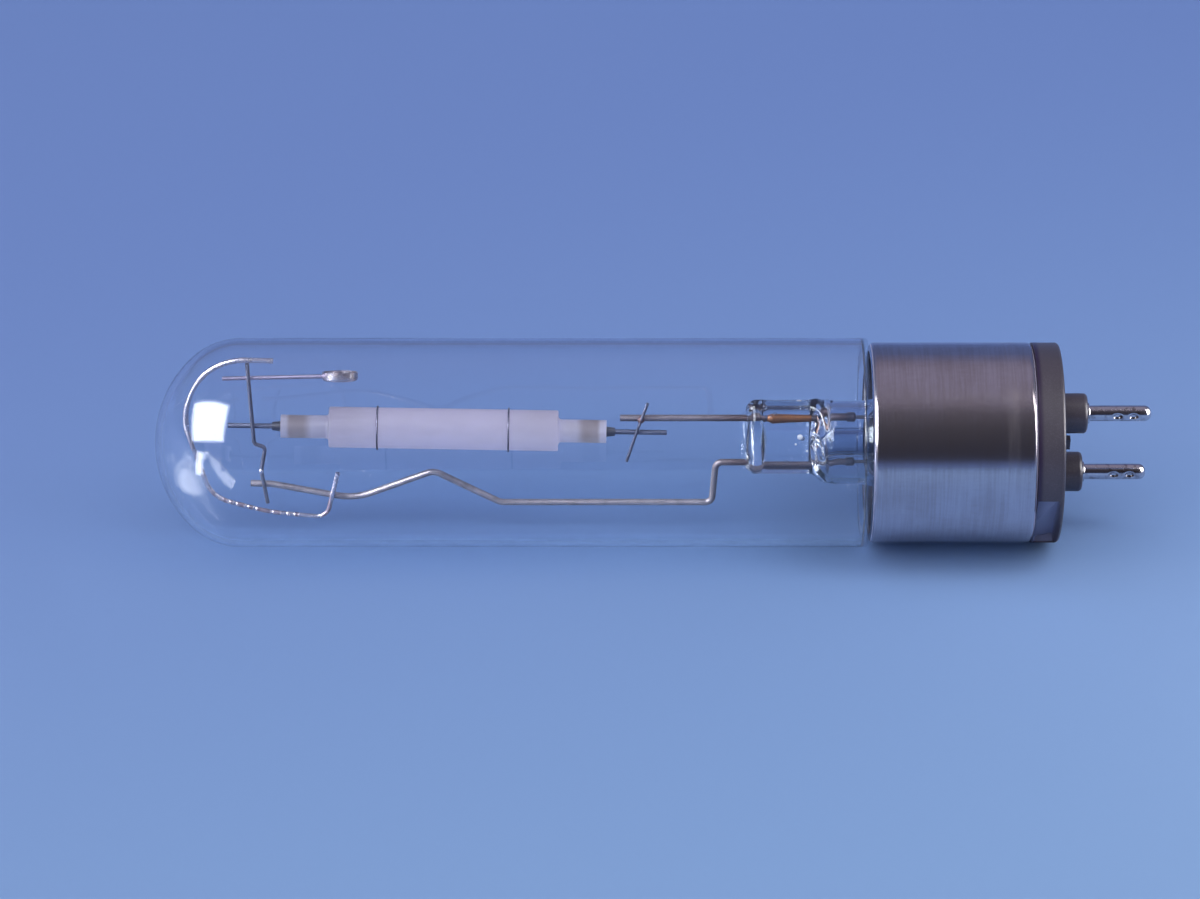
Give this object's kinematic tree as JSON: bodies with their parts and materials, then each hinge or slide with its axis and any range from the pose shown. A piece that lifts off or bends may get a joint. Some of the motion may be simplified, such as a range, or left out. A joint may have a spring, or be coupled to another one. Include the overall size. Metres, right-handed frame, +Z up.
{
  "type": "tubular sodium vapor lamp",
  "caption": "Clear tubular discharge lamp: domed glass bulb with a slender ceramic arc tube on a bent wire frame, in a metal cap with a ring insulator and a pair of contact pins.",
  "frame": {"origin": "on the lamp's axis, in the cap's reference plane where the metal shell meets the insulator ring", "axes": "+X along the lamp towards the contact pins; +Z up as the lamp lies; the pins' plane leans 13.5 degrees from upright towards -Y"},
  "size_m": [0.1489, 0.0314, 0.0314],
  "materials": {
    "bulb_glass": "clear polished tube glass",
    "stem_glass": "clear flame-worked glass",
    "lead_rod": "drawn wire, heat-browned at the pinch",
    "frame_rod": "drawn wire, satin, heat-tinted",
    "thin_wire": "dark drawn wire",
    "sleeve_metal": "dark weld sleeve",
    "arc_ceramic": "translucent sintered alumina, satin",
    "end_ceramic": "translucent sintered alumina, satin",
    "frit_glass": "fused seal",
    "niobium": "dark drawn metal",
    "tungsten": "dark metal",
    "band_metal": "fine dark wire",
    "link_metal": "fine drawn wire",
    "spring_steel": "bright spring wire",
    "getter_rod_metal": "drawn wire",
    "getter_steel": "bright formed strip",
    "getter_powder": "pressed dark powder",
    "shell_nickel": "nickel-plated sheet, satin",
    "cement": "matt cement",
    "insulator_moulding": "dark moulded insulator, satin",
    "pin_nickel": "nickel-plated brass, bright"
  },
  "bodies": {
    "root": {"outer_bulb": "bulb_glass", "stem_glass": "stem_glass", "exhaust_tube": "stem_glass", "short_lead_rod": "lead_rod", "frame_rod": "frame_rod", "lead_wire_upper": "thin_wire", "lead_wire_lower": "thin_wire", "weld_sleeve_upper": "sleeve_metal", "weld_sleeve_lower": "sleeve_metal", "arc_tube_body": "arc_ceramic", "arc_end_dome": "end_ceramic", "arc_end_cap": "end_ceramic", "frit_seal_dome": "frit_glass", "frit_seal_cap": "frit_glass", "feedthrough_dome": "niobium", "feedthrough_cap": "niobium", "electrode_shank_dome": "tungsten", "electrode_shank_cap": "tungsten", "electrode_coil_dome": "tungsten", "electrode_coil_cap": "tungsten", "band_wire_dome": "band_metal", "band_wire_cap": "band_metal", "link_wire_dome": "link_metal", "link_wire_cap": "link_metal", "dome_spring": "spring_steel", "getter_rod": "getter_rod_metal", "getter_channel": "getter_steel", "getter_fill": "getter_powder", "cap_shell": "shell_nickel", "cap_cement": "cement", "cap_insulator": "insulator_moulding", "contact_pin_upper": "pin_nickel", "contact_pin_lower": "pin_nickel"}
  },
  "joints": []
}
